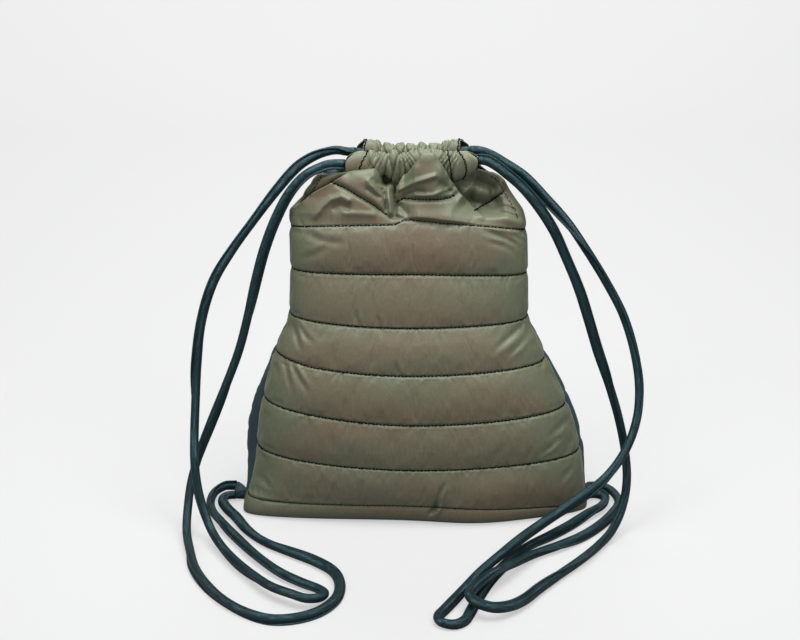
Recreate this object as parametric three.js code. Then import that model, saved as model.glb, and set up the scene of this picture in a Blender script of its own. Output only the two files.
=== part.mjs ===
// Quilted drawstring backpack, standing stuffed and drawn closed. Units are mm, +Z up, front faces -Y.
import * as THREE from 'three';

// Main sizes
const BODY_TOP = 366;        // height of the seam between the panels and the casings, before it sags
const HALF_W = 185;          // half the width at the base corners
const HALF_D = 75;           // half the depth of the stuffed bag
const LINING = 2.2;          // cloth of the front panel under its padding
const RIB = 7;               // height of the padding between two quilt lines
const BACK_WALL = 2.4;       // cloth of the back panel
const SEAM_GAP = 0.25;       // each panel stays this far from the seam plane
const CORD_D = 10;           // free cord, round body and seam lip together
const HELD_D = 9;            // cord squeezed in the casing
const CASING_WALL = 1.8;
const MEET = 0.3;            // gap between pieces that touch

// Stations of the body from the top to the seam under the base.
// z: height as a share of BODY_TOP; half, shift: half width and centre as shares of HALF_W;
// fseam, bseam: depth of the side edge of the front and the back panel as shares of HALF_D;
// front, back: how far the panels stand out from that edge; flare: how far the back spreads past its edge.
const STATIONS = [
  { z: 0.988, half: 0.362, shift: -0.016, fseam: -0.09, bseam: 0.09, front: 0.13, back: 0.13, flare: 0.00 },
  { z: 0.968, half: 0.464, shift: -0.020, fseam: -0.09, bseam: 0.07, front: 0.18, back: 0.19, flare: 0.00 },
  { z: 0.945, half: 0.552, shift: -0.026, fseam: -0.09, bseam: 0.03, front: 0.25, back: 0.28, flare: 0.00 },
  { z: 0.918, half: 0.612, shift: -0.036, fseam: -0.10, bseam: -0.07, front: 0.32, back: 0.40, flare: 0.00 },
  { z: 0.885, half: 0.644, shift: -0.038, fseam: -0.11, bseam: -0.11, front: 0.38, back: 0.48, flare: 0.00 },
  { z: 0.836, half: 0.654, shift: -0.033, fseam: -0.11, bseam: -0.11, front: 0.43, back: 0.56, flare: 0.01 },
  { z: 0.713, half: 0.660, shift: -0.028, fseam: -0.11, bseam: -0.11, front: 0.51, back: 0.68, flare: 0.02 },
  { z: 0.580, half: 0.674, shift: -0.030, fseam: -0.11, bseam: -0.11, front: 0.60, back: 0.82, flare: 0.03 },
  { z: 0.530, half: 0.716, shift: -0.028, fseam: -0.11, bseam: -0.11, front: 0.66, back: 0.90, flare: 0.05 },
  { z: 0.470, half: 0.768, shift: -0.026, fseam: -0.11, bseam: -0.11, front: 0.71, back: 0.98, flare: 0.08 },
  { z: 0.328, half: 0.868, shift: 0.003, fseam: -0.11, bseam: -0.11, front: 0.79, back: 1.07, flare: 0.14 },
  { z: 0.215, half: 0.920, shift: 0.022, fseam: -0.11, bseam: -0.11, front: 0.79, back: 1.10, flare: 0.19 },
  { z: 0.160, half: 0.935, shift: 0.030, fseam: -0.12, bseam: -0.12, front: 0.78, back: 1.10, flare: 0.19 },
  { z: 0.082, half: 0.960, shift: 0.024, fseam: -0.15, bseam: -0.15, front: 0.71, back: 1.02, flare: 0.13 },
  { z: 0.033, half: 0.984, shift: 0.014, fseam: -0.18, bseam: -0.18, front: 0.61, back: 0.89, flare: 0.05 },
  { z: 0.010, half: 0.992, shift: 0.011, fseam: -0.19, bseam: -0.19, front: 0.52, back: 0.77, flare: 0.02 },
  { z: 0.000, half: 0.986, shift: 0.011, fseam: -0.19, bseam: -0.19, front: 0.43, back: 0.64, flare: 0.01 },
  { z: 0.000, half: 0.976, shift: 0.011, fseam: -0.19, bseam: -0.19, front: 0.21, back: 0.32, flare: 0.00 },
  { z: 0.000, half: 0.962, shift: 0.011, fseam: -0.19, bseam: -0.19, front: 0.004, back: 0.004, flare: 0.00 },
];

// Quilt lines of the front panel from the top edge down: heights at the middle, the left and the right edge.
const LINES = [
  { mid: 0.988, left: 0.988, right: 0.988, puff: 0.0 },
  { mid: 0.893, left: 0.842, right: 0.832, puff: 1.0 },
  { mid: 0.741, left: 0.713, right: 0.710, puff: 1.0 },
  { mid: 0.593, left: 0.577, right: 0.579, puff: 1.0 },
  { mid: 0.454, left: 0.481, right: 0.462, puff: 1.0 },
  { mid: 0.309, left: 0.336, right: 0.322, puff: 1.0 },
  { mid: 0.172, left: 0.183, right: 0.172, puff: 0.9 },
  { mid: 0.066, left: 0.046, right: 0.026, puff: 0.3 },
];

// Folds of the gathered top: x of the fold at the casing and at the first quilt line as shares of HALF_W,
// its half width as a share of HALF_W, and its height in mm. The cleft between two of them is left low.
const FOLDS = [
  { top: -0.31, foot: -0.52, wide: 0.070, high: 11 },
  { top: -0.22, foot: -0.30, wide: 0.060, high: 15 },
  { top: -0.12, foot: -0.13, wide: 0.045, high: 14 },
  { top: 0.02, foot: 0.05, wide: 0.055, high: 16 },
  { top: 0.13, foot: 0.22, wide: 0.055, high: 15 },
  { top: 0.26, foot: 0.44, wide: 0.055, high: 10 },
];

const TUCK = 0.55;           // the quilt line that is drawn up into the folds, as a share of the way down them

const lerp = (a, b, t) => a + (b - a) * t;

// Smooth value of one column at a running station number (Catmull-Rom through the table).
function column(name, s) {
  const n = STATIONS.length - 1;
  const i = Math.min(n - 1, Math.max(0, Math.floor(s)));
  const t = Math.min(1, Math.max(0, s - i));
  const at = (k) => STATIONS[Math.min(n, Math.max(0, k))][name];
  const [p0, p1, p2, p3] = [at(i - 1), at(i), at(i + 1), at(i + 2)];
  const low = Math.min(p1, p2), high = Math.max(p1, p2);
  const v = 0.5 * (2 * p1 + (p2 - p0) * t + (2 * p0 - 5 * p1 + 4 * p2 - p3) * t * t + (3 * p1 - p0 - 3 * p2 + p3) * t * t * t);
  return Math.min(high, Math.max(low, v));
}

const BASE_STATION = STATIONS.findIndex((row) => row.z === 0);

// Running station number of a height above the base.
function stationAt(share) {
  for (let i = 0; i < BASE_STATION; i++) {
    const a = STATIONS[i].z, b = STATIONS[i + 1].z;
    if (share <= a && share >= b) return i + (a - share) / (a - b);
  }
  return BASE_STATION;
}

// Drawstring casings: hollow ruffled tubes along the mouth. y, z: middle; from, to: ends; tall, deep: outer half sizes.
const CASINGS = {
  front_casing: { y: -0.2 * HALF_D, z: 1.041 * BODY_TOP, drop: 4, from: -0.373 * HALF_W, to: 0.341 * HALF_W, tall: 12.6, deep: 7.6, pleats: 8, ruffle: 1.7, phase: 0.4 },
  back_casing: { y: 0.2 * HALF_D, z: 1.049 * BODY_TOP, drop: 2, from: -0.319 * HALF_W, to: 0.303 * HALF_W, tall: 12.0, deep: 7.4, pleats: 7, ruffle: 1.5, phase: 1.9 },
};

// The casing sinks toward its left end, and its ends are a little lower than its middle is tall.
const casingHeight = (c, t) => c.z - c.drop * (1 - t) ** 2;
const casingEnd = (t) => Math.pow(Math.abs(2 * t - 1), 10);
function underCasing(c, x) {
  const t = Math.min(1, Math.max(0, (x - c.from) / (c.to - c.from)));
  return casingHeight(c, t) - c.tall * (1 - 0.16 * casingEnd(t)) - MEET;
}

// Point of the cloth under the padding; turn runs from -90 degrees (left edge) to +90.
function clothPoint(side, s, turn) {
  const half = column('half', s) * HALF_W;
  const across = Math.sin(turn), out = Math.pow(Math.max(0, Math.cos(turn)), 0.8);
  const x = column('shift', s) * HALF_W + half * across;
  const top = underCasing(side === 'front' ? CASINGS.front_casing : CASINGS.back_casing, x);
  const rise = (top - STATIONS[0].z * BODY_TOP) * Math.max(0, 1 - s / 3) ** 2;
  const z = s >= BASE_STATION ? 0 : column('z', s) * BODY_TOP + rise;
  if (side === 'front') {
    const lean = 1 + 0.14 * across * Math.max(0, 1 - z / 60);
    return new THREE.Vector3(x, column('fseam', s) * HALF_D - SEAM_GAP - column('front', s) * HALF_D * out * lean, z);
  }
  const spread = column('flare', s) * HALF_W * Math.sin(2 * turn);
  return new THREE.Vector3(x + spread, column('bseam', s) * HALF_D + SEAM_GAP + column('back', s) * HALF_D * out, z);
}

function outward(side, s, turn) {
  const e = 0.02, edge = Math.PI / 2 - 1e-4;
  const a = clothPoint(side, s, Math.max(-edge, turn - e)), b = clothPoint(side, s, Math.min(edge, turn + e));
  const n = STATIONS.length - 1;
  const c = clothPoint(side, Math.max(0, s - e), turn), d = clothPoint(side, Math.min(n, s + e), turn);
  const normal = b.sub(a).cross(d.sub(c));
  if (normal.lengthSq() < 1e-12) normal.set(0, 0, -1);
  return normal.normalize().multiplyScalar(side === 'front' ? -1 : 1);
}

// Closed solid between two grids of points with the same rows and columns.
function slab(outer, inner) {
  const rows = outer.length, cols = outer[0].length, points = [], faces = [];
  for (const grid of [outer, inner]) for (const row of grid) for (const p of row) points.push(p.x, p.y, p.z);
  const o = (r, c) => r * cols + c, n = (r, c) => rows * cols + r * cols + c;
  const quad = (a, b, c, d) => faces.push(a, b, c, a, c, d);
  for (let r = 0; r < rows - 1; r++) {
    for (let c = 0; c < cols - 1; c++) {
      quad(o(r, c), o(r + 1, c), o(r + 1, c + 1), o(r, c + 1));
      quad(n(r, c), n(r, c + 1), n(r + 1, c + 1), n(r + 1, c));
    }
    quad(o(r, 0), n(r, 0), n(r + 1, 0), o(r + 1, 0));
    quad(o(r, cols - 1), o(r + 1, cols - 1), n(r + 1, cols - 1), n(r, cols - 1));
  }
  for (let c = 0; c < cols - 1; c++) {
    quad(o(0, c), o(0, c + 1), n(0, c + 1), n(0, c));
    quad(o(rows - 1, c), n(rows - 1, c), n(rows - 1, c + 1), o(rows - 1, c + 1));
  }
  return solid(points, faces);
}

function solid(points, faces) {
  const geometry = new THREE.BufferGeometry();
  geometry.setAttribute('position', new THREE.Float32BufferAttribute(points, 3));
  geometry.setIndex(faces);
  geometry.computeVertexNormals();
  return geometry;
}

function mesh(name, geometry) {
  const m = new THREE.Mesh(geometry, new THREE.MeshStandardMaterial());
  m.name = name;
  return m;
}

// Height of the gathered folds over the cloth at a point between the casing and the first quilt line.
function foldHeight(x, fall) {
  let h = 0;
  for (const fold of FOLDS) {
    const at = lerp(fold.top, fold.foot, fall) * HALF_W;
    const d = (x - at) / (lerp(0.8, 1.7, fall) * fold.wide * HALF_W);
    h = Math.max(h, fold.high * Math.exp(-d * d));
  }
  const tuck = 1 - 0.35 * Math.exp(-(((fall - TUCK) / 0.09) ** 2));
  return h * tuck * Math.sin(Math.PI * Math.min(1, 0.1 + 0.9 * fall)) ** 0.6;
}

// Front panel: padded cloth with ribs between the quilt lines, gathered above the first one.
const COLS = 24;
function frontPanel() {
  const turns = Array.from({ length: COLS + 1 }, (_, i) => lerp(-Math.PI / 2, Math.PI / 2, i / COLS));
  const outer = [], inner = [];
  const row = (share, puff, fall) => {
    const o = [], n = [];
    for (const turn of turns) {
      const u = Math.sin(turn);
      const s = share(u);
      const p = clothPoint('front', s, turn), normal = outward('front', s, turn);
      const edge = 1 - Math.pow(Math.abs(u), 8);
      const folds = fall === null ? 0 : foldHeight(p.x, fall);
      const lift = (puff + folds) * edge;
      if (fall !== null) normal.setZ(normal.z * Math.min(1, fall)).normalize();
      o.push(p.clone().addScaledVector(normal, lift));
      n.push(p.clone().addScaledVector(normal, -LINING));
    }
    outer.push(o);
    inner.push(n);
  };
  const lineAt = (k, u) => lerp(LINES[k].mid, u < 0 ? LINES[k].left : LINES[k].right, Math.pow(Math.abs(u), 2.2));
  const STEPS = [9, 5, 5, 5, 5, 5, 4];
  for (let k = 0; k < LINES.length - 1; k++) {
    for (let j = 0; j < STEPS[k]; j++) {
      const t = j / STEPS[k];
      const bulge = RIB * LINES[k].puff * Math.pow(Math.sin(Math.PI * t), 0.6);
      row((u) => stationAt(lerp(lineAt(k, u), lineAt(k + 1, u), t)), k === 0 ? 0 : bulge, k === 0 ? t : null);
    }
  }
  const last = LINES.length - 1;
  row((u) => stationAt(lineAt(last, u)), 0, null);
  row((u) => stationAt(lineAt(last, u) * 0.45), 1, null);
  for (let s = BASE_STATION; s < STATIONS.length; s++) row(() => s, 0, null);
  return slab(outer, inner);
}

// Back panel: plain twill, wider than the front low down.
function backPanel() {
  const cols = 18, outer = [], inner = [];
  const stations = [0, 1, 2, 3, 4, 5, 6, 7, 8, 9, 9.5, 10, 10.5, 11, 12, 13, 14, 15, 16, 17, 18];
  for (const s of stations) {
    const o = [], n = [];
    for (let i = 0; i <= cols; i++) {
      const turn = lerp(Math.PI / 2, -Math.PI / 2, i / cols);
      const p = clothPoint('back', s, turn), normal = outward('back', s, turn);
      o.push(p);
      n.push(p.clone().addScaledVector(normal, -BACK_WALL));
    }
    outer.push(o);
    inner.push(n);
  }
  return slab(outer, inner);
}

function casing(c) {
  const around = 10, along = 26, rings = [];
  for (let i = 0; i <= along; i++) {
    const t = i / along, x = lerp(c.from, c.to, t);
    const end = casingEnd(t);
    const ring = (shrink, ruffled) => Array.from({ length: around }, (_, k) => {
      const a = (2 * Math.PI * k) / around;
      const wave = ruffled ? c.ruffle * (1 - end) * Math.sin(2 * Math.PI * c.pleats * t + c.phase + 0.5 * Math.sin(a)) : 0;
      const high = c.tall * (1 - 0.16 * end) - shrink + Math.min(0, wave), deep = c.deep * (1 - 0.05 * end) - shrink + 0.4 * wave;
      return new THREE.Vector3(x, c.y + deep * Math.cos(a), casingHeight(c, t) + high * Math.sin(a));
    });
    rings.push({ outer: ring(0, true), inner: ring(CASING_WALL, false) });
  }
  const points = [], faces = [];
  for (const r of rings) for (const p of [...r.outer, ...r.inner]) points.push(p.x, p.y, p.z);
  const id = (i, k, inside) => i * 2 * around + (inside ? around : 0) + (k % around);
  const quad = (a, b, c2, d) => faces.push(a, b, c2, a, c2, d);
  for (let i = 0; i < along; i++) {
    for (let k = 0; k < around; k++) {
      quad(id(i, k), id(i + 1, k), id(i + 1, k + 1), id(i, k + 1));
      quad(id(i, k, true), id(i, k + 1, true), id(i + 1, k + 1, true), id(i + 1, k, true));
    }
  }
  for (let k = 0; k < around; k++) {
    quad(id(0, k), id(0, k + 1), id(0, k + 1, true), id(0, k, true));
    quad(id(along, k), id(along, k, true), id(along, k + 1, true), id(along, k + 1));
  }
  return flipIfInside(solid(points, faces));
}

// A closed mesh has a positive volume when its faces look outward.
function flipIfInside(geometry) {
  const p = geometry.getAttribute('position'), index = geometry.getIndex();
  const a = new THREE.Vector3(), b = new THREE.Vector3(), c = new THREE.Vector3();
  let volume = 0;
  for (let i = 0; i < index.count; i += 3) {
    a.fromBufferAttribute(p, index.getX(i));
    b.fromBufferAttribute(p, index.getX(i + 1));
    c.fromBufferAttribute(p, index.getX(i + 2));
    volume += a.dot(b.cross(c)) / 6;
  }
  if (volume < 0) {
    for (let i = 0; i < index.count; i += 3) {
      const keep = index.getX(i + 1);
      index.setX(i + 1, index.getX(i + 2));
      index.setX(i + 2, keep);
    }
    geometry.computeVertexNormals();
  }
  return geometry;
}

function tube(points, diameter, steps) {
  const path = new THREE.CatmullRomCurve3(points.map((p) => new THREE.Vector3(...p)), false, 'centripetal');
  path.arcLengthDivisions = 1200;
  const section = new THREE.Shape(Array.from({ length: 8 }, (_, k) => {
    const a = (2 * Math.PI * (k + 0.5)) / 8;
    return new THREE.Vector2(Math.cos(a) * diameter / 2, Math.sin(a) * diameter / 2);
  }));
  return new THREE.ExtrudeGeometry(section, { steps, extrudePath: path, bevelEnabled: false });
}

// Cord stretches held in the casings, straight from end to end.
function heldCord(c) {
  const points = [0, 0.12, 0.35, 0.6, 0.85, 1].map((t) => [lerp(c.from, c.to, t), c.y, casingHeight(c, Math.max(0.12, t))]);
  return tube(points, HELD_D, 10);
}

// Routes of the free cords for a bag of the sizes below, and how they follow the bag's own sizes.
const DRAWN = { halfWidth: 185, halfDepth: 75, height: 366, onFloor: 5.2 };
const routePoint = ([x, y, z]) => [
  x * HALF_W / DRAWN.halfWidth,
  y * HALF_D / DRAWN.halfDepth,
  0.52 * CORD_D + (z - DRAWN.onFloor) * BODY_TOP / DRAWN.height,
];

// Free cord strands: each leaves a casing end, hangs to the floor, turns back on it and ends at a corner tab.
const CORDS = {
  left_back_cord: [
    [-59.4, 15, 382.4], [-68, 15, 382.4], [-79, 15, 384], [-95, 14, 380.5], [-116, 10, 369], [-138, 5, 346], [-161, -1, 318], [-185, -8, 286],
    [-205, -15, 253], [-218, -24, 213], [-223, -34, 172], [-225, -46, 135], [-226, -60, 102], [-225, -76, 78],
    [-222, -82, 52], [-217, -87, 32], [-210, -96, 16], [-198, -122, 10], [-181, -154, 8.5], [-160, -187, 9],
    [-138, -219, 12], [-118, -235, 13], [-104, -241, 11.5], [-92, -236, 9.5], [-87, -224, 7.5], [-93, -212, 5.8],
    [-108, -199, 5.2], [-132, -177, 5.2], [-156, -145, 5.2], [-179, -105, 5.2], [-201, -64, 5.2], [-213, -38, 5.2],
    [-217, -14, 6], [-213, 6, 7.5], [-203, 15, 9], [-197, 15, 9], [-191.3, 15, 9]],
  left_front_cord: [
    [-69.4, -15, 377.9], [-76, -15, 377.9], [-86, -16, 377.5], [-97, -18, 374], [-110, -20, 367], [-125, -22, 351], [-139, -24, 326], [-152, -27, 293],
    [-162, -30, 257], [-170, -34, 221], [-180, -37, 185], [-195, -40, 146], [-210, -42, 110], [-223, -45, 76],
    [-232, -53, 46], [-235, -68, 23], [-234, -93, 10], [-227, -129, 5.4], [-217, -169, 5.2], [-201, -205, 5.2],
    [-181, -236, 5.2], [-158, -258, 5.2], [-135, -269, 5.2], [-111, -266, 5.2], [-91, -253, 5.2], [-77, -230, 5.2],
    [-74, -202, 5.2], [-81, -176, 5.2], [-100, -154, 5.2], [-126, -133, 5.2], [-153, -110, 5.2], [-174, -82, 5.2],
    [-188, -53, 5.2], [-199, -33, 5.2], [-205, -15, 5.2], [-203, -4, 5.3], [-197, 0, 5.4], [-191.3, 0, 5.4]],
  right_back_cord: [
    [56.5, 15, 383.9], [65, 15, 383.9], [77, 15, 380], [92, 14, 371.5], [113, 10, 358], [134, 5, 337], [156, -1, 313], [176, -8, 285],
    [196, -16, 254], [214, -25, 221], [226, -36, 184], [231, -48, 149], [228, -60, 118], [216, -71, 88],
    [197, -80, 64], [172, -86, 45], [142, -98, 29], [108, -133, 22], [80, -169, 16.5], [63, -192, 13],
    [47, -216, 8], [27, -252, 5.6], [21, -265, 5.3], [25, -276, 5.2], [37, -279, 5.2], [46, -271, 5.2],
    [51, -256, 5.2], [59, -230, 5.2], [73, -192, 5.2], [92, -155, 5.2], [114, -122, 5.2], [139, -96, 5.2],
    [161, -72, 5.2], [182, -46, 5.2], [200, -26, 5.2], [205, -12, 5.2], [203, -2, 5.3], [197, 2, 5.4], [191.3, 2, 5.4]],
  right_front_cord: [
    [63.5, -15, 381], [70, -15, 381], [80, -16, 376.5], [91, -18, 368.5], [106, -20, 356], [123, -22, 336], [139, -25, 312], [153, -28, 283],
    [166, -31, 252], [177, -35, 219], [188, -38, 184], [201, -41, 149], [212, -44, 113], [219, -48, 80],
    [221, -60, 50], [215, -76, 26], [203, -95, 10], [186, -121, 5.4], [165, -152, 5.2], [142, -182, 5.2],
    [120, -212, 5.2], [105, -235, 6], [90, -252, 8.5], [73, -262, 12.5], [58, -258, 15.8], [51, -243, 16.2],
    [57, -226, 16.2], [70, -205, 16], [84, -187, 14.5], [99, -166, 10], [121, -138, 5.6], [146, -119, 5.2],
    [171, -98, 5.2], [191, -74, 5.2], [208, -46, 5.2], [219, -18, 6], [214, 6, 7.5], [203, 16, 9], [197, 16, 9], [191.3, 16, 9]],
};
const CORD_STEPS = 52;

// Corner tabs: folded cloth sewn over the corner seam, where both strands of a side end.
const TAB = { thick: 3, long: 30, tall: 15, round: 4, out: 5.9, middle: 0.105 };
function cornerTab(outerX, middleY) {
  const { thick, long, tall, round } = TAB;
  const s = new THREE.Shape(), a = long / 2, b = tall / 2;
  s.moveTo(-a + round, -b);
  s.lineTo(a - round, -b);
  s.quadraticCurveTo(a, -b, a, -b + round);
  s.lineTo(a, b - round);
  s.quadraticCurveTo(a, b, a - round, b);
  s.lineTo(-a + round, b);
  s.quadraticCurveTo(-a, b, -a, b - round);
  s.lineTo(-a, -b + round);
  s.quadraticCurveTo(-a, -b, -a + round, -b);
  const g = new THREE.ExtrudeGeometry(s, { depth: thick, bevelEnabled: false, curveSegments: 3 });
  g.rotateX(Math.PI / 2);
  g.rotateZ(Math.PI / 2);
  g.computeBoundingBox();
  const box = g.boundingBox;
  g.translate((outerX < 0 ? outerX - box.min.x : outerX - box.max.x), middleY - (box.min.y + box.max.y) / 2, 0.4 - box.min.z);
  return g;
}

const group = new THREE.Group();
group.name = 'quilted_backpack';
group.add(mesh('front_panel', frontPanel()));
group.add(mesh('back_panel', backPanel()));
for (const [name, c] of Object.entries(CASINGS)) {
  group.add(mesh(name, casing(c)));
  group.add(mesh(name === 'front_casing' ? 'front_held_cord' : 'back_held_cord', heldCord(c)));
}
for (const [name, points] of Object.entries(CORDS)) group.add(mesh(name, tube(points.map(routePoint), CORD_D, CORD_STEPS)));
group.add(mesh('left_corner_tab', cornerTab(-HALF_W - TAB.out, TAB.middle * HALF_D)));
group.add(mesh('right_corner_tab', cornerTab(HALF_W + TAB.out, TAB.middle * HALF_D)));

export default group;
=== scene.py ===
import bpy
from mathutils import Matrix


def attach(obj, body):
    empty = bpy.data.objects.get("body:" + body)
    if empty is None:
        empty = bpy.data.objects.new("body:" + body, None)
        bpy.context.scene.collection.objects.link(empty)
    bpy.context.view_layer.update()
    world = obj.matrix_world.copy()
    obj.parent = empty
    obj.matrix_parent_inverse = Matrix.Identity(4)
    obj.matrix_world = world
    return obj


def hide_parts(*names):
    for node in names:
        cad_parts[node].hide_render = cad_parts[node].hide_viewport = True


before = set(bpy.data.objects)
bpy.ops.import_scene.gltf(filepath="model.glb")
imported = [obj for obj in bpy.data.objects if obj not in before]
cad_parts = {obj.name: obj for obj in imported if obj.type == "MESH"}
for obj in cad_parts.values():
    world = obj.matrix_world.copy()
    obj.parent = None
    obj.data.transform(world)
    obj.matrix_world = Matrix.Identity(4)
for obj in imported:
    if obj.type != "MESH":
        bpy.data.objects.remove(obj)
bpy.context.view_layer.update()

import math
import bpy
import numpy as np
from mathutils import Vector

# Viewing place. The bag is seen straight from the front and 20 degrees from above, with a long lens.
EYE = np.array([-0.0145, -1.7854, 0.8558])
camera = bpy.data.objects.new("front_view", bpy.data.cameras.new("front_view"))
camera.location = EYE
camera.rotation_euler = (math.radians(70), 0, 0)
camera.data.lens = 82.2
camera.data.sensor_width = 36
bpy.context.scene.collection.objects.link(camera)
bpy.context.scene.camera = camera

# Drawstring cords. Two piping cords, a satin twill cover sewn shut round a soft core with the seam left
# as a flat lip, run through the two casings. Each of the four free ends hangs beside the bag, lies
# turned back on the floor and is sewn into the tab at the bottom corner.
CORD_ROUND = 0.0045          # radius of the filled part
LIP_OUT = 0.0067             # reach of the sewn lip from the middle of the cord
LIP_HALF = 0.0009
CORD_STEP = 0.004            # length of cord from one drawn section to the next
ROUTES = {
    "left_back_cord": {"long": 0.98, "lip": 200, "turn": 150, "points": [
        (-59.4, 15, 382.4), (-68, 15, 382.4), (-79, 15, 384), (-95, 14, 380.5), (-116, 10, 369),
        (-138, 5, 346), (-161, -1, 318), (-185, -8, 286), (-205, -15, 253), (-218, -24, 213),
        (-223, -34, 172), (-225, -46, 135), (-226, -60, 102), (-225, -76, 78), (-222, -82, 52),
        (-217, -87, 32), (-210, -96, 16), (-198, -122, 10), (-181, -154, 8.5), (-160, -187, 9),
        (-138, -219, 12), (-118, -235, 13), (-104, -241, 11.5), (-92, -236, 9.5), (-87, -224, 7.5),
        (-93, -212, 5.8), (-108, -199, 5.2), (-132, -177, 5.2), (-156, -145, 5.2), (-179, -105, 5.2),
        (-201, -64, 5.2), (-213, -38, 5.2), (-217, -14, 6), (-213, 6, 7.5), (-203, 15, 9),
        (-197, 15, 9), (-191.3, 15, 9)]},
    "left_front_cord": {"long": 1.02, "lip": 120, "turn": -120, "points": [
        (-69.4, -15, 377.9), (-76, -15, 377.9), (-86, -16, 377.5), (-97, -18, 374), (-110, -20, 367),
        (-125, -22, 351), (-139, -24, 326), (-152, -27, 293), (-162, -30, 257), (-170, -34, 221),
        (-180, -37, 185), (-195, -40, 146), (-210, -42, 110), (-223, -45, 76), (-232, -53, 46),
        (-235, -68, 23), (-234, -93, 10), (-227, -129, 5.4), (-217, -169, 5.2), (-201, -205, 5.2),
        (-181, -236, 5.2), (-158, -258, 5.2), (-135, -269, 5.2), (-111, -266, 5.2), (-91, -253, 5.2),
        (-77, -230, 5.2), (-74, -202, 5.2), (-81, -176, 5.2), (-100, -154, 5.2), (-126, -133, 5.2),
        (-153, -110, 5.2), (-174, -82, 5.2), (-188, -53, 5.2), (-199, -33, 5.2), (-205, -15, 5.2),
        (-203, -4, 5.3), (-197, 0, 5.4), (-191.3, 0, 5.4)]},
    "right_back_cord": {"long": 1.06, "lip": 60, "turn": -160, "points": [
        (56.5, 15, 383.9), (65, 15, 383.9), (77, 15, 380), (92, 14, 371.5), (113, 10, 358),
        (134, 5, 337), (156, -1, 313), (176, -8, 285), (196, -16, 254), (214, -25, 221),
        (226, -36, 184), (231, -48, 149), (228, -60, 118), (216, -71, 88), (197, -80, 64),
        (172, -86, 45), (142, -98, 29), (108, -133, 22), (80, -169, 16.5), (63, -192, 13),
        (47, -216, 8), (27, -252, 5.6), (21, -265, 5.3), (25, -276, 5.2), (37, -279, 5.2),
        (46, -271, 5.2), (51, -256, 5.2), (59, -230, 5.2), (73, -192, 5.2), (92, -155, 5.2),
        (114, -122, 5.2), (139, -96, 5.2), (161, -72, 5.2), (182, -46, 5.2), (200, -26, 5.2),
        (205, -12, 5.2), (203, -2, 5.3), (197, 2, 5.4), (191.3, 2, 5.4)]},
    "right_front_cord": {"long": 1.03, "lip": 240, "turn": 130, "points": [
        (63.5, -15, 381), (70, -15, 381), (80, -16, 376.5), (91, -18, 368.5), (106, -20, 356),
        (123, -22, 336), (139, -25, 312), (153, -28, 283), (166, -31, 252), (177, -35, 219),
        (188, -38, 184), (201, -41, 149), (212, -44, 113), (219, -48, 80), (221, -60, 50),
        (215, -76, 26), (203, -95, 10), (186, -121, 5.4), (165, -152, 5.2), (142, -182, 5.2),
        (120, -212, 5.2), (105, -235, 6), (90, -252, 8.5), (73, -262, 12.5), (58, -258, 15.8),
        (51, -243, 16.2), (57, -226, 16.2), (70, -205, 16), (84, -187, 14.5), (99, -166, 10),
        (121, -138, 5.6), (146, -119, 5.2), (171, -98, 5.2), (191, -74, 5.2), (208, -46, 5.2),
        (219, -18, 6), (214, 6, 7.5), (203, 16, 9), (197, 16, 9), (191.3, 16, 9)]},
}


def lengths_along(path):
    """Length from the start of a path to each of its points."""
    return np.concatenate([[0], np.cumsum(np.linalg.norm(np.diff(path, axis=0), axis=1))])


def run_of(points, step):
    """Even points on the smooth run of a cord through the given ones (centripetal)."""
    def between(s, t0, t1, p0, p1):
        return (t1 - s) / (t1 - t0) * p0 + (s - t0) / (t1 - t0) * p1

    p = np.array(points, float)
    p = np.vstack([2 * p[0] - p[1], p, 2 * p[-1] - p[-2]])
    fine = []
    for i in range(1, len(p) - 2):
        q = p[i - 1:i + 3]
        t = np.concatenate([[0], np.cumsum(np.sqrt(np.linalg.norm(np.diff(q, axis=0), axis=1)))])
        s = np.linspace(t[1], t[2], 24, endpoint=False)[:, None]
        a = [between(s, t[k], t[k + 1], q[k], q[k + 1]) for k in range(3)]
        b = [between(s, t[k], t[k + 2], a[k], a[k + 1]) for k in range(2)]
        fine.append(between(s, t[1], t[2], b[0], b[1]))
    fine = np.vstack(fine + [p[-2][None]])
    far = lengths_along(fine)
    even = np.linspace(0, far[-1], max(4, int(round(far[-1] / step)) + 1))
    return np.column_stack([np.interp(even, far, fine[:, k]) for k in range(3)])


def frames_along(path):
    """Tangent and a side direction along a path that doesn't spin about it."""
    t = np.gradient(path, axis=0)
    t /= np.linalg.norm(t, axis=1)[:, None]
    side = np.zeros_like(path)
    first = np.cross(t[0], (0, 0, 1.0))
    side[0] = first / np.linalg.norm(first)
    for i in range(1, len(path)):
        s = side[i - 1] - np.dot(side[i - 1], t[i]) * t[i]
        side[i] = s / np.linalg.norm(s)
    return t, side


def new_piece(name, points, faces, material=None, uv=None, smooth=True):
    """Mesh object with one material and, where given, a coordinate along and round it."""
    m = bpy.data.meshes.new(name)
    m.from_pydata([tuple(map(float, p)) for p in points], [], [tuple(map(int, f)) for f in faces])
    if uv is not None:
        layer = m.uv_layers.new(name="along")
        corners = np.zeros(len(m.loops), int)
        m.loops.foreach_get("vertex_index", corners)
        layer.data.foreach_set("uv", np.asarray(uv, float)[corners].ravel())
    m.polygons.foreach_set("use_smooth", [smooth] * len(m.polygons))
    m.update()
    o = bpy.data.objects.new(name, m)
    bpy.context.scene.collection.objects.link(o)
    if material:
        m.materials.append(material)
    return o


def grid_faces(rows, cols, close=False, start=0):
    """Faces of a grid of points listed row by row; close joins the last column to the first."""
    r = np.arange(rows - 1)[:, None] * cols
    c = np.arange(cols if close else cols - 1)[None, :]
    n = (c + 1) % cols
    q = np.stack([r + c, r + n, r + cols + n, r + cols + c], axis=-1)
    return q.reshape(-1, 4) + start


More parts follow.
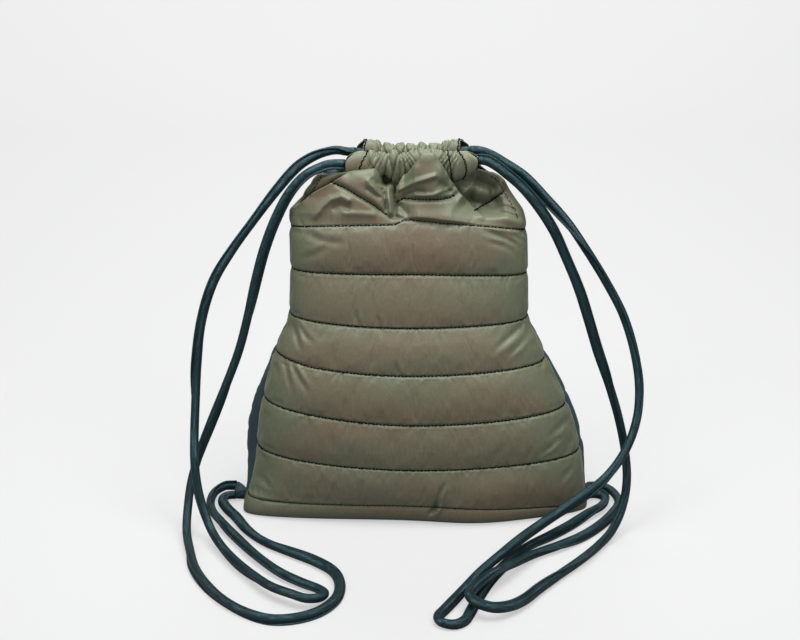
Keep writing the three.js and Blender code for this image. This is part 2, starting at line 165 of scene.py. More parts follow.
def tube_faces(rows, cols, start=0):
    """Faces of a tube of rings of points, with a flat cap at each end."""
    ring = list(range(start, start + cols))
    caps = [ring[::-1], [k + (rows - 1) * cols for k in ring]]
    return grid_faces(rows, cols, close=True, start=start).tolist() + caps


def node_group(name, inputs, outputs):
    """Empty shader group with its sockets; gives the tree, its input node and its output node."""
    g = bpy.data.node_groups.new(name, "ShaderNodeTree")
    for label, kind, value in inputs:
        s = g.interface.new_socket(name=label, in_out="INPUT", socket_type=kind)
        if value is not None:
            s.default_value = value
    for label, kind in outputs:
        g.interface.new_socket(name=label, in_out="OUTPUT", socket_type=kind)
    return g, g.nodes.new("NodeGroupInput"), g.nodes.new("NodeGroupOutput")


def set_values(node, values):
    for socket, value in values.items():
        node.inputs[socket].default_value = value


def add(tree, kind, links=None, values=None, **settings):
    """One shader node with its settings, links into its sockets, and values of the other sockets."""
    n = tree.nodes.new("ShaderNode" + kind)
    for key, value in settings.items():
        setattr(n, key, value)
    set_values(n, values or {})
    for socket, source in (links or {}).items():
        tree.links.new(source, n.inputs[socket])
    return n


def finish_of(name):
    """New material with its shader, ready for its colours."""
    m = bpy.data.materials.new(name)
    m.use_nodes = True
    return m, m.node_tree, m.node_tree.nodes["Principled BSDF"]


def tones(t, source, dark, light, at=(0.0, 1.0)):
    """Colour that goes from the dark tone to the light one where the source passes the two places."""
    ramp = add(t, "ValToRGB", {"Fac": source})
    for stop, colour, place in zip(ramp.color_ramp.elements, (dark, light), at):
        stop.color = (*colour, 1)
        stop.position = place
    return ramp.outputs["Color"]


def mix(t, share, first, second):
    """Colour between two others, each a socket or a plain colour."""
    node = add(t, "Mix", {0: share}, data_type="RGBA")
    for socket, colour in ((6, first), (7, second)):
        if isinstance(colour, tuple):
            node.inputs[socket].default_value = (*colour, 1)
        else:
            t.links.new(colour, node.inputs[socket])
    return node.outputs[2]


def bumps(t, shader, *layers):
    """Bump of a shader from heights, the finest first, each with its strength and its metres."""
    links = {}
    for height, strength, distance in layers:
        links["Height"] = height
        bump = add(t, "Bump", links, {"Strength": strength, "Distance": distance})
        links["Normal"] = bump.outputs["Normal"]
    t.links.new(links["Normal"], shader.inputs["Normal"])


# Diagonal twill of the cord cover and the back cloth, from a coordinate in metres.
twill, twill_in, twill_out = node_group(
    "twill_weave", [("Place", "NodeSocketVector", None), ("Ribs", "NodeSocketFloat", 1400.0)],
    [("Rib", "NodeSocketFloat"), ("Slub", "NodeSocketFloat")])
split = add(twill, "SeparateXYZ", {"Vector": twill_in.outputs["Place"]})
run = add(twill, "Math", {0: split.outputs["X"], 1: split.outputs["Y"]}, operation="ADD")
run = add(twill, "Math", {0: run.outputs[0], 1: split.outputs["Z"]}, operation="ADD")
run = add(twill, "Math", {0: run.outputs[0], 1: twill_in.outputs["Ribs"]}, operation="MULTIPLY")
wave = add(twill, "Math", {0: run.outputs[0]}, operation="SINE")
rib = add(twill, "Math", {0: wave.outputs[0]}, {1: 0.5, 2: 0.5}, operation="MULTIPLY_ADD")
slub = add(twill, "TexNoise", {"Vector": twill_in.outputs["Place"]}, {"Scale": 260.0, "Detail": 3.0})
twill.links.new(rib.outputs[0], twill_out.inputs["Rib"])
twill.links.new(slub.outputs["Fac"], twill_out.inputs["Slub"])


def twill_colour(t, weave, tone, shade):
    """The tone on the ribs of the twill, and a darker shade of it between them."""
    dark = add(t, "HueSaturation", {"Color": tone}, {"Value": shade})
    return mix(t, weave.outputs["Rib"], dark.outputs["Color"], tone)


cord_cloth, t, shader = finish_of("cord_twill")
uv = add(t, "UVMap", uv_map="along")
weave = add(t, "Group", {"Place": uv.outputs["UV"]}, {"Ribs": 5200.0}, node_tree=twill)
place = add(t, "TexCoord")
soil = add(t, "TexNoise", {"Vector": place.outputs["Object"]}, {"Scale": 34.0, "Detail": 4.0})
tone = tones(t, soil.outputs["Fac"], (0.0028, 0.0115, 0.0143), (0.0074, 0.0265, 0.0310), (0.32, 0.70))
# Stitches at the root of the lip, drawn as a near-black band with short gaps, which is also painted shade of
# the groove between body and lip. The second coordinate is 0 opposite the lip and 1 at its edge.
flat = add(t, "SeparateXYZ", {"Vector": uv.outputs["UV"]})
step_at = add(t, "Math", {0: flat.outputs["X"]}, {1: 0.0016}, operation="PINGPONG")
dash = add(t, "Math", {0: step_at.outputs[0]}, {1: 0.0013}, operation="LESS_THAN")
band = add(t, "Math", {0: flat.outputs["Y"]}, {1: 0.905, 2: 0.035}, operation="COMPARE")
stitch_and_groove_shade = add(t, "Math", {0: dash.outputs[0], 1: band.outputs[0]}, operation="MULTIPLY")
cover = mix(t, stitch_and_groove_shade.outputs[0], twill_colour(t, weave, tone, 0.42), (0.0012, 0.0020, 0.0025))
t.links.new(cover, shader.inputs["Base Color"])
bumps(t, shader, (weave.outputs["Rib"], 0.5, 0.00015), (stitch_and_groove_shade.outputs[0], 0.6, 0.0004))
rough = add(t, "MapRange", {"Value": soil.outputs["Fac"]}, {"To Min": 0.28, "To Max": 0.42})
t.links.new(rough.outputs["Result"], shader.inputs["Roughness"])
set_values(shader, {"Specular IOR Level": 0.50, "Specular Tint": (0.55, 0.90, 1.0, 1),
                    "Sheen Weight": 0.02, "Sheen Tint": (0.35, 0.68, 0.75, 1)})


def cord_section():
    """Round body with the flat sewn lip, as points across the cord, and how far round each one is."""
    ring = [(CORD_ROUND * math.cos(a), CORD_ROUND * math.sin(a), a / math.pi)
            for a in np.radians(np.linspace(24, 336, 19))]
    half_lip = [(0.0043, LIP_HALF * 0.75, 0.09), (0.0047, LIP_HALF * 0.70, 0.075),
                (0.0052, LIP_HALF * 1.15, 0.05), (0.0062, LIP_HALF * 1.10, 0.03),
                (LIP_OUT - 0.0001, LIP_HALF * 0.6, 0.01)]
    return ring + [(x, -y, 2 - w) for x, y, w in half_lip] + [(LIP_OUT, 0, 2.0)] + half_lip[::-1]


def cord_piece(name, path, lip, turn, squeeze=1.0):
    """Cord swept along its path; the lip starts at one side and turns slowly about the cord."""
    t, side = frames_along(path)
    up = np.cross(t, side)
    section = cord_section()
    along = lengths_along(path)
    a = np.radians(lip + turn * along / 0.5 + 28 * np.sin(along / 0.047) + 17 * np.sin(along / 0.023 + lip))
    c, s = np.cos(a)[:, None], np.sin(a)[:, None]
    points, uv = [], []
    for x, y, w in section:
        points.append(path + (x * c - y * s) * squeeze * side + (x * s + y * c) * squeeze * up)
        uv.append(np.column_stack([along, np.full(len(along), abs(w - 1.0))]))
    points = np.stack(points, axis=1).reshape(-1, 3)
    points[:, 2] = np.maximum(points[:, 2], 0.0003)
    uv = np.stack(uv, axis=1).reshape(-1, 2)
    return new_piece(name, points, tube_faces(len(path), len(section)), cord_cloth, uv)


for name, cord in ROUTES.items():
    path = run_of(np.array(cord["points"]) / 1000, CORD_STEP)
    piece = cord_piece(name + "_cover", path, cord["lip"], cord["turn"])
    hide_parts(name)
    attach(piece, "root")

# Held cords. The stretch of each cord inside its casing, from one open end to the other, the same twill
# cover and core as outside, squeezed a little by the gathers.
HELD = {
    "front_held_cord": [(-0.0698, -0.015, 0.3779), (-0.0610, -0.015, 0.3779), (-0.0228, -0.015, 0.3793),
                        (0.0102, -0.015, 0.3804), (0.0432, -0.015, 0.3809), (0.0640, -0.015, 0.3810)],
    "back_held_cord": [(-0.0598, 0.015, 0.3824), (-0.0520, 0.015, 0.3824), (-0.0187, 0.015, 0.3831),
                       (0.0101, 0.015, 0.3837), (0.0388, 0.015, 0.3839), (0.0568, 0.015, 0.3839)],
}
for name, points in HELD.items():
    piece = cord_piece(name + "_cover", run_of(points, CORD_STEP), 90, 20, squeeze=0.86)
    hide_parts(name)
    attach(piece, "root")

# Shell cloth of the front and the casings: olive satin with a pinkish brown cross thread, so it turns
# between green and brown, over thin padding.
satin, satin_in, satin_out = node_group(
    "satin_threads", [("Place", "NodeSocketVector", None)],
    [("Thread", "NodeSocketFloat"), ("Streak", "NodeSocketFloat"), ("Crinkle", "NodeSocketFloat")])
for label, scale, values in (
        ("Thread", (1500.0, 1500.0, 38.0), {"Scale": 1.0, "Detail": 2.0, "Roughness": 0.6}),
        ("Streak", (260.0, 260.0, 9.0), {"Scale": 1.0, "Detail": 3.0, "Roughness": 0.55}),
        ("Crinkle", (1.0, 1.0, 1.0), {"Scale": 95.0, "Detail": 4.0, "Roughness": 0.5, "Distortion": 0.6})):
    drawn_out = add(satin, "Mapping", {"Vector": satin_in.outputs["Place"]}, {"Scale": scale})
    grain = add(satin, "TexNoise", {"Vector": drawn_out.outputs["Vector"]}, values)
    satin.links.new(grain.outputs["Fac"], satin_out.inputs[label])

GREEN = (0.113, 0.126, 0.080)
BROWN = (0.138, 0.104, 0.069)
TO_BROWN = -0.09             # a higher value lets more of the brown thread show

shell, t, shader = finish_of("quilted_satin")
place = add(t, "TexCoord")
weave = add(t, "Group", {"Place": place.outputs["Object"]}, node_tree=satin)
wide = add(t, "Mapping", {"Vector": place.outputs["Object"]}, {"Scale": (9.0, 9.0, 17.0)})
broad = add(t, "TexNoise", {"Vector": wide.outputs["Vector"]},
            {"Scale": 1.0, "Detail": 1.0, "Roughness": 0.4, "Distortion": 0.3})
face = add(t, "NewGeometry")
lift = add(t, "SeparateXYZ", {"Vector": face.outputs["Normal"]})
# Painted sheen: the satin's turn between its threads is painted by facing, brown where the cloth faces
# forward and green where it turns up or down, as its angle sheen shows from the front.
painted_sheen = add(t, "MapRange", {"Value": lift.outputs["Y"]},
              {"From Min": -1.0, "From Max": -0.78, "To Min": 0.60, "To Max": -0.18})
patch = add(t, "MapRange", {"Value": broad.outputs["Fac"]},
            {"From Min": 0.36, "From Max": 0.66, "To Min": -0.30, "To Max": 0.30})
turn = add(t, "Math", {0: painted_sheen.outputs["Result"], 1: patch.outputs["Result"]}, operation="ADD")
streak = add(t, "Math", {0: weave.outputs["Streak"], 2: turn.outputs[0]}, {1: 0.35}, operation="MULTIPLY_ADD")
share = add(t, "Math", {0: streak.outputs[0]}, {1: TO_BROWN}, operation="ADD", use_clamp=True)
grain = add(t, "MapRange", {"Value": weave.outputs["Thread"]},
            {"From Min": 0.3, "From Max": 0.7, "To Min": 0.86, "To Max": 1.12})
two = mix(t, share.outputs[0], GREEN, BROWN)
shade = add(t, "HueSaturation", {"Color": two, "Value": grain.outputs["Result"]})
t.links.new(shade.outputs["Color"], shader.inputs["Base Color"])
bumps(t, shader, (weave.outputs["Thread"], 0.35, 0.00012), (weave.outputs["Crinkle"], 0.28, 0.0016))
rough = add(t, "MapRange", {"Value": weave.outputs["Streak"]}, {"To Min": 0.38, "To Max": 0.54})
t.links.new(rough.outputs["Result"], shader.inputs["Roughness"])
set_values(shader, {"Specular IOR Level": 0.38, "Sheen Weight": 0.12, "Sheen Roughness": 0.35,
                    "Sheen Tint": (0.78, 0.86, 0.68, 1)})


def grained(name, scale, dark, light, bump, values):
    """Plain material whose fine grain gives its two tones and its bump."""
    m, t, shader = finish_of(name)
    place = add(t, "TexCoord")
    grain = add(t, "TexNoise", {"Vector": place.outputs["Object"]}, {"Scale": scale, "Detail": 2.0})
    t.links.new(tones(t, grain.outputs["Fac"], dark, light), shader.inputs["Base Color"])
    bumps(t, shader, (grain.outputs["Fac"], *bump))
    set_values(shader, values)
    return m


# Thread and lining of the casings and the front: a near-black, dull sewing thread, dark also as painted shade
# of the groove it lies in, and a plain near-black cloth, dark also as painted shade of the insides it lines.
thread_with_groove_shade = grained("quilting_thread", 1800.0, (0.0020, 0.0022, 0.0018), (0.0060, 0.0062, 0.0050),
                      (0.5, 0.0002), {"Roughness": 0.85, "Specular IOR Level": 0.08})
lining_with_inside_shade = grained("lining", 900.0, (0.012, 0.014, 0.012), (0.028, 0.031, 0.026),
                       (0.3, 0.0002), {"Roughness": 0.7})


def stitches(name, lines, long=0.0036, gap=0.0002, thick=0.00088, zig=0.0005):
    """Separate thread stitches along lines of points, each a small tapered bead lying in the cloth."""
    points, faces = [], []
    for line in lines:
        line = np.asarray(line, float)
        far = lengths_along(line)
        for k in range(int(far[-1] / (long + gap))):
            at = np.array([0.0, 0.25, 0.75, 1.0]) * long + k * (long + gap) + gap / 2
            p = np.column_stack([np.interp(at, far, line[:, i]) for i in range(3)])
            d = p[-1] - p[0]
            d /= max(1e-9, np.linalg.norm(d))
            side = np.cross(d, (0, -1.0, 0.25))
            side /= max(1e-9, np.linalg.norm(side))
            up = np.cross(side, d)
            p = p + side * (zig if k % 2 else -zig) * np.array([-1, -0.5, 0.5, 1])[:, None]
            for q, r in zip(p, (0.3, 1.0, 1.0, 0.3)):
                for a in np.radians(np.arange(0, 360, 72)):
                    points.append(q + thick * r * (math.cos(a) * side + math.sin(a) * up))
            faces += tube_faces(4, 5, start=len(points) - 20)
    piece = new_piece(name, points, faces, thread_with_groove_shade)
    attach(piece, "root")
    return piece


# Casings. A wide hem of the shell cloth along each top edge, folded over and sewn to the panel, bunched
# into pleats on its cord; the ends stay open, with a row of stitches round each. Over and under give its
# height about the cord from left to right, in mm; each pleat has its place, width, depth in mm and lean.
CASINGS = {
    "front_casing": {
        "y": -0.015, "z": 0.3810, "drop": 0.004, "from": -0.0690, "to": 0.0631, "deep": 0.0078,
        "hems": ((0.115, 0.040), (0.79, -0.018), (0.905, -0.028)), "flat": (0.190, 0.060), "open": (0, 0),
        "over": [(-69, 11.0), (-56, 13.0), (-40, 12.4), (-30, 10.6), (-20, 12.4), (-10, 10.4),
                 (2, 12.2), (18, 12.6), (28, 10.0), (40, 10.2), (52, 9.4), (63, 7.6)],
        "under": [(-69, 11.4), (-45, 12.8), (-36, 13.4), (-28, 13.8), (-24, 17.0), (-20, 23.0),
                  (-14, 20.5), (-5, 13.2), (4, 12.2), (22, 12.8), (30, 18.0), (40, 20.5), (50, 17.5),
                  (58, 13.5), (63, 11.0)],
        "pleats": [(0.185, 0.011, 1.5, 0.06), (0.232, 0.007, 2.3, 0.05), (0.270, 0.008, 1.4, 0.04),
                   (0.312, 0.007, 3.4, 0.02), (0.345, 0.006, 2.2, -0.03), (0.376, 0.006, 4.0, 0.03),
                   (0.412, 0.007, 3.0, 0.00), (0.444, 0.005, 4.2, -0.02), (0.478, 0.006, 2.6, -0.04),
                   (0.505, 0.005, 3.6, -0.05), (0.540, 0.007, 2.2, -0.07), (0.700, 0.007, 3.2, 0.05),
                   (0.727, 0.005, 2.2, 0.06), (0.762, 0.007, 3.4, 0.06), (0.800, 0.006, 2.0, 0.07),
                   (0.838, 0.008, 1.6, 0.05)]},
    "back_casing": {
        "y": 0.015, "z": 0.3840, "drop": 0.002, "from": -0.0590, "to": 0.0561, "deep": 0.0076,
        "hems": ((0.02, 0.0), (0.975, 0.0)), "flat": (0.165, 0.058), "open": (0.007, 0.011),
        "over": [(-59, 9.6), (-50, 12.6), (-40, 12.0), (-30, 8.6), (-22, 6.8), (-12, 8.4), (-2, 6.4),
                 (8, 7.6), (18, 6.2), (26, 8.4), (36, 10.4), (46, 10.8), (56, 8.4)],
        "under": [(-59, 11.0), (0, 12.2), (56, 11.0)],
        "pleats": [(0.20, 0.010, 1.6, 0.03), (0.26, 0.008, 3.0, -0.03), (0.315, 0.006, 2.4, 0.04),
                   (0.36, 0.006, 3.6, -0.02), (0.41, 0.006, 2.6, 0.03), (0.46, 0.007, 3.6, -0.03),
                   (0.51, 0.006, 2.4, 0.03), (0.555, 0.006, 3.6, -0.04), (0.61, 0.007, 2.8, 0.02),
                   (0.66, 0.006, 3.4, -0.03), (0.71, 0.008, 2.4, 0.02), (0.77, 0.009, 2.6, -0.02),
                   (0.83, 0.010, 1.4, 0.02)]},
}


def casing_height(c, t):
    return c["z"] - c["drop"] * (1 - t) ** 2


def read_off(x, table):
    """Value at x of a table drawn as (place, value)."""
    return np.interp(x, *zip(*table))


def casing_grid(c, around, along, inset=0.0):
    """Pleated tube from left to right; a turns about it from the back over the top."""
    t = np.linspace(0, 1, along)[:, None]
    a = np.linspace(0, 2 * np.pi, around, endpoint=False)[None, :]
    low = np.abs(2 * t - 1) ** 10
    fold = np.zeros((along, around))
    rng = np.random.default_rng(5)
    fine = [(rng.uniform(0.16, 0.86), rng.uniform(0.0025, 0.005), rng.uniform(0.3, 1.2), rng.normal(0, 0.05))
            for _ in range(44)]
    for at, wide, deep, lean in c["pleats"] + fine:
        d = (t - at - lean * np.sin(a)) / wide
        fold = fold + deep / 1000 * np.exp(-np.abs(d) ** 1.3)
    swell = 0.0016 * np.sin(np.pi * t) ** 0.5
    cut = -fold + swell * (0.5 + 0.5 * np.cos(23 * np.pi * t + 2.6 * np.sin(a)) * np.cos(9 * t + 1))
    round_off = 0.009 * np.abs(np.sin(a)) ** 3 + 0 * t
    x = c["from"] + (c["to"] - c["from"]) * t
    left, right = (np.clip(1 - d / 0.2, 0, 1) for d in (t, 1 - t))
    x = x + round_off * left - round_off * right
    cut_back = np.clip(-np.cos(a), 0, 1) ** 1.5
    left, right = (np.clip(1 - d / 0.25, 0, 1) for d in (t, 1 - t))
    x = x + cut_back * (c["open"][0] * left - c["open"][1] * right)
    over = read_off(x * 1000, c["over"]) / 1000
    under = read_off(x * 1000, c["under"]) / 1000
    tall = np.maximum(np.where(np.sin(a) > 0, over, under) + cut, 0.0056) - inset
    deep = c["deep"] * (1 - 0.05 * low) - inset + 0.9 * np.maximum(cut, -0.0036)
    y = c["y"] + deep * np.cos(a) * np.ones_like(t)
    return np.stack([x, y, casing_height(c, t) + tall * np.sin(a)], axis=-1)


CLOTH_THICK = 0.0011
for name, c in CASINGS.items():
    around, along = 56, 190
    outer = casing_grid(c, around, along)
    inner = casing_grid(c, around, along, CLOTH_THICK)
    points = np.vstack([outer.reshape(-1, 3), inner.reshape(-1, 3)])
    n = around * along
    faces = grid_faces(along, around, close=True)[:, ::-1].tolist()
    faces += grid_faces(along, around, close=True, start=n).tolist()
    for k in range(around):
        k2 = (k + 1) % around
        faces.append([k, k2, n + k2, n + k])
        e = (along - 1) * around
        faces.append([e + k2, e + k, n + e + k, n + e + k2])
    piece = new_piece(name + "_cloth", points, faces, shell)
    # The inside faces take the near-black lining, painted shade for the insides seen at the open ends.
    piece.data.materials.append(lining_with_inside_shade)
    side = (along - 1) * around
    lined = [int(side <= k < 2 * side) for k in range(len(faces))]
    piece.data.polygons.foreach_set("material_index", lined)
    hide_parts(name)
    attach(piece, "root")
    lines = []
    for hem, lean in c["hems"]:
        at = (hem + lean * np.sin(np.linspace(0, 2 * np.pi, around, endpoint=False))) * (along - 1)
        i, part = np.floor(at).astype(int), (at % 1)[:, None]
        loop = outer[i, np.arange(around)] * (1 - part) + outer[i + 1, np.arange(around)] * part
        loop = loop + (loop - [0, c["y"], loop[:, 2].mean()]) * [0, 0.02, 0.02]
        lines.append(np.vstack([loop, loop[:1]]))
    stitches(name + "_hem_stitches", lines, long=0.0026)

# Front panel. Two layers of satin with padding between, quilted in wide channels across, cut wider
# towards the bottom; its top edge is bunched into the casing and puffs up in front of it.
BODY_TOP, HALF_W, HALF_D = 0.366, 0.185, 0.075
# Sections of the body from the casing seam down. The height is a share of BODY_TOP; the half width, the shift
# to the right and the flare of the back are shares of HALF_W; the place of each panel's seam and the bulge of
# the front and the back are shares of HALF_D.
COLUMNS = ("z", "half", "shift", "fseam", "bseam", "front", "back", "flare")
STATIONS = np.array([
    (0.988, 0.362, -0.016, -0.09, 0.09, 0.13, 0.13, 0.00),
    (0.968, 0.464, -0.020, -0.09, 0.07, 0.18, 0.19, 0.00),
    (0.945, 0.552, -0.026, -0.09, 0.03, 0.25, 0.28, 0.00),
    (0.918, 0.612, -0.036, -0.10, -0.07, 0.32, 0.40, 0.00),
    (0.885, 0.644, -0.038, -0.11, -0.11, 0.38, 0.48, 0.00),
    (0.836, 0.654, -0.033, -0.11, -0.11, 0.43, 0.56, 0.01),
    (0.713, 0.660, -0.028, -0.11, -0.11, 0.51, 0.68, 0.02),
    (0.580, 0.674, -0.030, -0.11, -0.11, 0.60, 0.82, 0.03),
    (0.530, 0.716, -0.028, -0.11, -0.11, 0.66, 0.90, 0.01),
    (0.470, 0.768, -0.026, -0.11, -0.11, 0.71, 0.98, 0.04),
    (0.328, 0.868, 0.003, -0.11, -0.11, 0.79, 1.07, 0.14),
    (0.215, 0.920, 0.022, -0.11, -0.11, 0.79, 1.10, 0.19),
    (0.160, 0.935, 0.030, -0.12, -0.12, 0.78, 1.10, 0.19),
    (0.082, 0.960, 0.024, -0.15, -0.15, 0.71, 1.02, 0.13),
    (0.033, 0.984, 0.014, -0.18, -0.18, 0.61, 0.89, 0.05),
    (0.010, 0.992, 0.011, -0.19, -0.19, 0.52, 0.77, 0.02),
    (0.000, 0.986, 0.011, -0.19, -0.19, 0.43, 0.64, 0.01),
    (0.000, 0.976, 0.011, -0.19, -0.19, 0.21, 0.32, 0.00),
    (0.000, 0.962, 0.011, -0.19, -0.19, 0.004, 0.004, 0.00),
])
BASE = 16                    # station of the flat base edge
# Height of the casing seam and of the quilt lines: at the middle, the left edge and the right edge.
LINES = [(0.988, 0.988, 0.988), (0.886, 0.850, 0.842), (0.738, 0.732, 0.720), (0.593, 0.605, 0.595),
         (0.454, 0.483, 0.466), (0.316, 0.350, 0.330), (0.178, 0.204, 0.192), (0.066, 0.058, 0.026)]
FIRST, LAST = 1, 7           # the quilt lines that cross the panel, in LINES
RIGHT_FLARE = 0.55           # the back spreads less on the right than on the left
LINE_PINCH = 0.0019          # how far each quilt line draws the side seams in
SHOULDER_PINCH = 0.0085      # how far the right shoulder is drawn in
SQUARE = 0.44                # how much squarer the left corner of the foot is
FOOT_LOBE = 0.0105           # bulge of the foot right of the middle
CASING_DOWN = 0.0124         # from the middle of a casing down to the panel's top edge
SEAM_HALF = 0.0003           # each panel ends this far from the seam between them


def eased(p0, p1, p2, p3, t):
    """Point at t from p1 to p2 on the smooth curve through four points."""
    return 0.5 * (2 * p1 + (p2 - p0) * t + (2 * p0 - 5 * p1 + 4 * p2 - p3) * t ** 2
                  + (3 * p1 - p0 - 3 * p2 + p3) * t ** 3)


def column(name, s):
    """A column of the stations at a running station, never past the two stations beside it."""
    k = COLUMNS.index(name)
    last = len(STATIONS) - 1
    i = np.clip(np.floor(s), 0, last - 1).astype(int)
    t = np.clip(s - i, 0, 1)
    p0, p1, p2, p3 = (STATIONS[np.clip(i + d, 0, last), k] for d in (-1, 0, 1, 2))
    return np.clip(eased(p0, p1, p2, p3, t), np.minimum(p1, p2), np.maximum(p1, p2))


def station_at(share):
    z = STATIONS[:BASE + 1, 0]
    return np.interp(-share, -z, np.arange(BASE + 1))


def cloth(side, s, turn):
    """Point of a panel at a running station and a turn from -90 degrees, the left edge, to +90."""
    across = np.sin(turn)
    x = column("shift", s) * HALF_W + column("half", s) * HALF_W * across
    edges = np.where(across < 0, 1, 2)
    z_mm = column("z", s) * BODY_TOP * 1000
    pinch = sum(np.exp(-((z_mm - np.array(line)[edges] * BODY_TOP * 1000) / 4.5) ** 2)
                for line in LINES[FIRST:LAST])
    x = x - across ** 9 * LINE_PINCH * pinch
    shoulder = np.exp(-((z_mm / 1000 / BODY_TOP - 0.925) / 0.035) ** 2)
    x = x - SHOULDER_PINCH * shoulder * np.clip(across, 0, 1) ** 3
    # On the left the hem of the slit stands out straight from the shoulder to the casing.
    stand = read_off(z_mm / 1000 / BODY_TOP,
                     ((0.885, 0), (0.915, -0.045), (0.945, -0.015), (0.968, 0.05), (0.988, 0.12)))
    x = x - stand * HALF_W * np.clip(-across, 0, 1) ** 1.5
    square = SQUARE * np.clip(1 - z_mm / 42, 0, 1) * (across < 0) * (side == "front")
    out = np.clip(np.cos(turn), 0, None) ** (0.8 - square)
    # The top edge follows the underside of the casing.
    c = CASINGS["front_casing" if side == "front" else "back_casing"]
    t = np.clip((x - c["from"]) / (c["to"] - c["from"]), 0, 1)
    top = casing_height(c, t) - CASING_DOWN * (1 - 0.16 * np.abs(2 * t - 1) ** 10)
    rise = (top - STATIONS[0, 0] * BODY_TOP) * np.clip(1 - s / 3, 0, None) ** 2
    z = np.where(s >= BASE, 0, column("z", s) * BODY_TOP + rise)
    if side == "front":
        reach = column("front", s) * HALF_D * out
        lobe = np.exp(-((x - 0.068) / 0.058) ** 2) * np.clip(1 - z / 0.058, 0, None)
        reach = reach + FOOT_LOBE * lobe * np.minimum(1, reach / (0.2 * HALF_D))
        return np.stack([x, column("fseam", s) * HALF_D - SEAM_HALF - reach, z], axis=-1)
    spread = column("flare", s) * HALF_W * np.sin(2 * turn) * np.where(turn > 0, RIGHT_FLARE, 1)
    y = column("bseam", s) * HALF_D + SEAM_HALF + column("back", s) * HALF_D * out
    return np.stack([x + spread, y, z], axis=-1)


def facing(P):
    """Unit normals of a grid of points: outward where rows run down the front and columns to the right."""
    du = np.gradient(P, axis=1)
    dv = np.gradient(P, axis=0)
    n = np.cross(dv, du)
    return n / np.maximum(1e-12, np.linalg.norm(n, axis=-1, keepdims=True))


def line_height(k, across):
    """Height of quilt line k across the panel, as a share of the body's."""
    mid, left, right = LINES[k]
    side = np.where(across < 0, left, right)
    z = mid + (side - mid) * np.abs(across) ** 1.7
    if k == 1:
        # The first line steps up a little just left of the middle.
        x = across * 119
        step = (np.tanh((x + 9) / 4) * 2.4 - 0.6) * np.exp(-((x + 6) / 60) ** 2)
        z = z + step / (BODY_TOP * 1000)
    return z


# Rows of the panel as a running number: 0 at the casing, 1 at the first quilt line that crosses the whole
# panel, 7 at the last, 8 at the base edge and 9 at the seam under the base.
def front_rows(gather, band, foot):
    """The rows, closer together near each quilt line."""
    v = [np.linspace(0, 1, gather, endpoint=False)]
    even = np.linspace(0, 1, band, endpoint=False)
    near = even - 0.085 * np.sin(2 * np.pi * even)
    v += [k + near for k in range(FIRST, LAST)]
    v += [7 + np.linspace(0, 1, foot, endpoint=False), 8 + np.linspace(0, 1, foot // 2 + 1)]
    return np.concatenate(v)


# How far the bunched cloth puffs up above its seam along the top, from left to right: x in mm and a share.
PUFF_UP = [(-130, 0.0), (-104, 0.12), (-84, 0.42), (-62, 0.86), (-40, 1.0), (-30, 0.55), (-22, 0.1),
           (-10, 0.25), (-2, 1.0), (3, 1.6), (7, 2.1), (19, 2.1), (24, 1.6), (30, 0.8), (42, 0.14),
           (60, 0.10), (84, 0.16), (108, 0.05), (125, 0)]


BAND_HIGH, FOOT_HIGH = 0.0043, 0.0028    # height of the padding in the bands and under the last line


def front_base(v, turn, swell):
    """Panel before its small folds; swell is the share of the full height of the padding."""
    across = np.sin(turn)
    P = np.zeros((len(v), len(turn), 3))
    for i, w in enumerate(v):
        k = min(int(w), 8)
        f = w - k
        if k < 7:
            share = line_height(k, across) * (1 - f) + line_height(k + 1, across) * f
            s = station_at(share)
        elif k == 7:
            s = station_at(line_height(7, across) * (1 - f))
        else:
            s = np.full(len(turn), BASE + f * 2)
        P[i] = cloth("front", s, turn)
        if k == 0 and w > 0:
            seam = cloth("front", station_at(line_height(0, across)), turn)
            line = cloth("front", station_at(line_height(1, across)), turn)
            up = read_off(P[i, :, 0] * 1000, PUFF_UP)
            inner = 1 - np.abs(across) ** 6
            line = line + np.stack([0 * up, -0.0026 * inner, 0 * up], axis=-1)
            q1 = seam + np.stack([0 * up, -0.019 * np.minimum(up, 1.25), 0.031 * up], axis=-1)
            q1 = q1 + (line - seam) * 0.2 * np.clip(1 - up[:, None], 0, 1)
            q2 = line + np.stack([0 * up, 0.009 * inner, 0.020 + 0.004 * up], axis=-1)
            curve = (1 - f) ** 3 * seam + 3 * (1 - f) ** 2 * f * q1
            curve = curve + 3 * (1 - f) * f * f * q2 + f ** 3 * line
            P[i, :, 1:] = curve[:, 1:]
    N = facing(P)
    edge = 1 - np.abs(across) ** 8
    for i, w in enumerate(v):
        k = min(int(w), 8)
        f = w - k
        if 1 <= k < 7:
            high = BAND_HIGH * {1: 1.6, 6: 0.92}.get(k, 1.0) * np.sin(np.pi * f ** 1.12) ** 0.52
        elif k == 7:
            high = FOOT_HIGH * np.sin(np.pi * f) ** 0.7
        else:
            high = 0.0
        P[i] += N[i] * (high * swell * edge)[:, None]
        if k == 1:
            P[i, :, 1] -= 0.0026 * (1 - np.abs(across) ** 6) * (1 - f) ** 1.2
    return P


def finer(P, times, axis):
    """Grid with more rows or columns on a smooth curve through the old ones."""
    n = P.shape[axis]
    at = np.arange((n - 1) * times + 1) / times
    i = np.clip(np.floor(at).astype(int), 0, n - 2)
    t = (at - i).reshape([-1 if k == axis else 1 for k in range(P.ndim)])
    return eased(*(np.take(P, np.clip(i + d, 0, n - 1), axis=axis) for d in (-1, 0, 1, 2)), t)


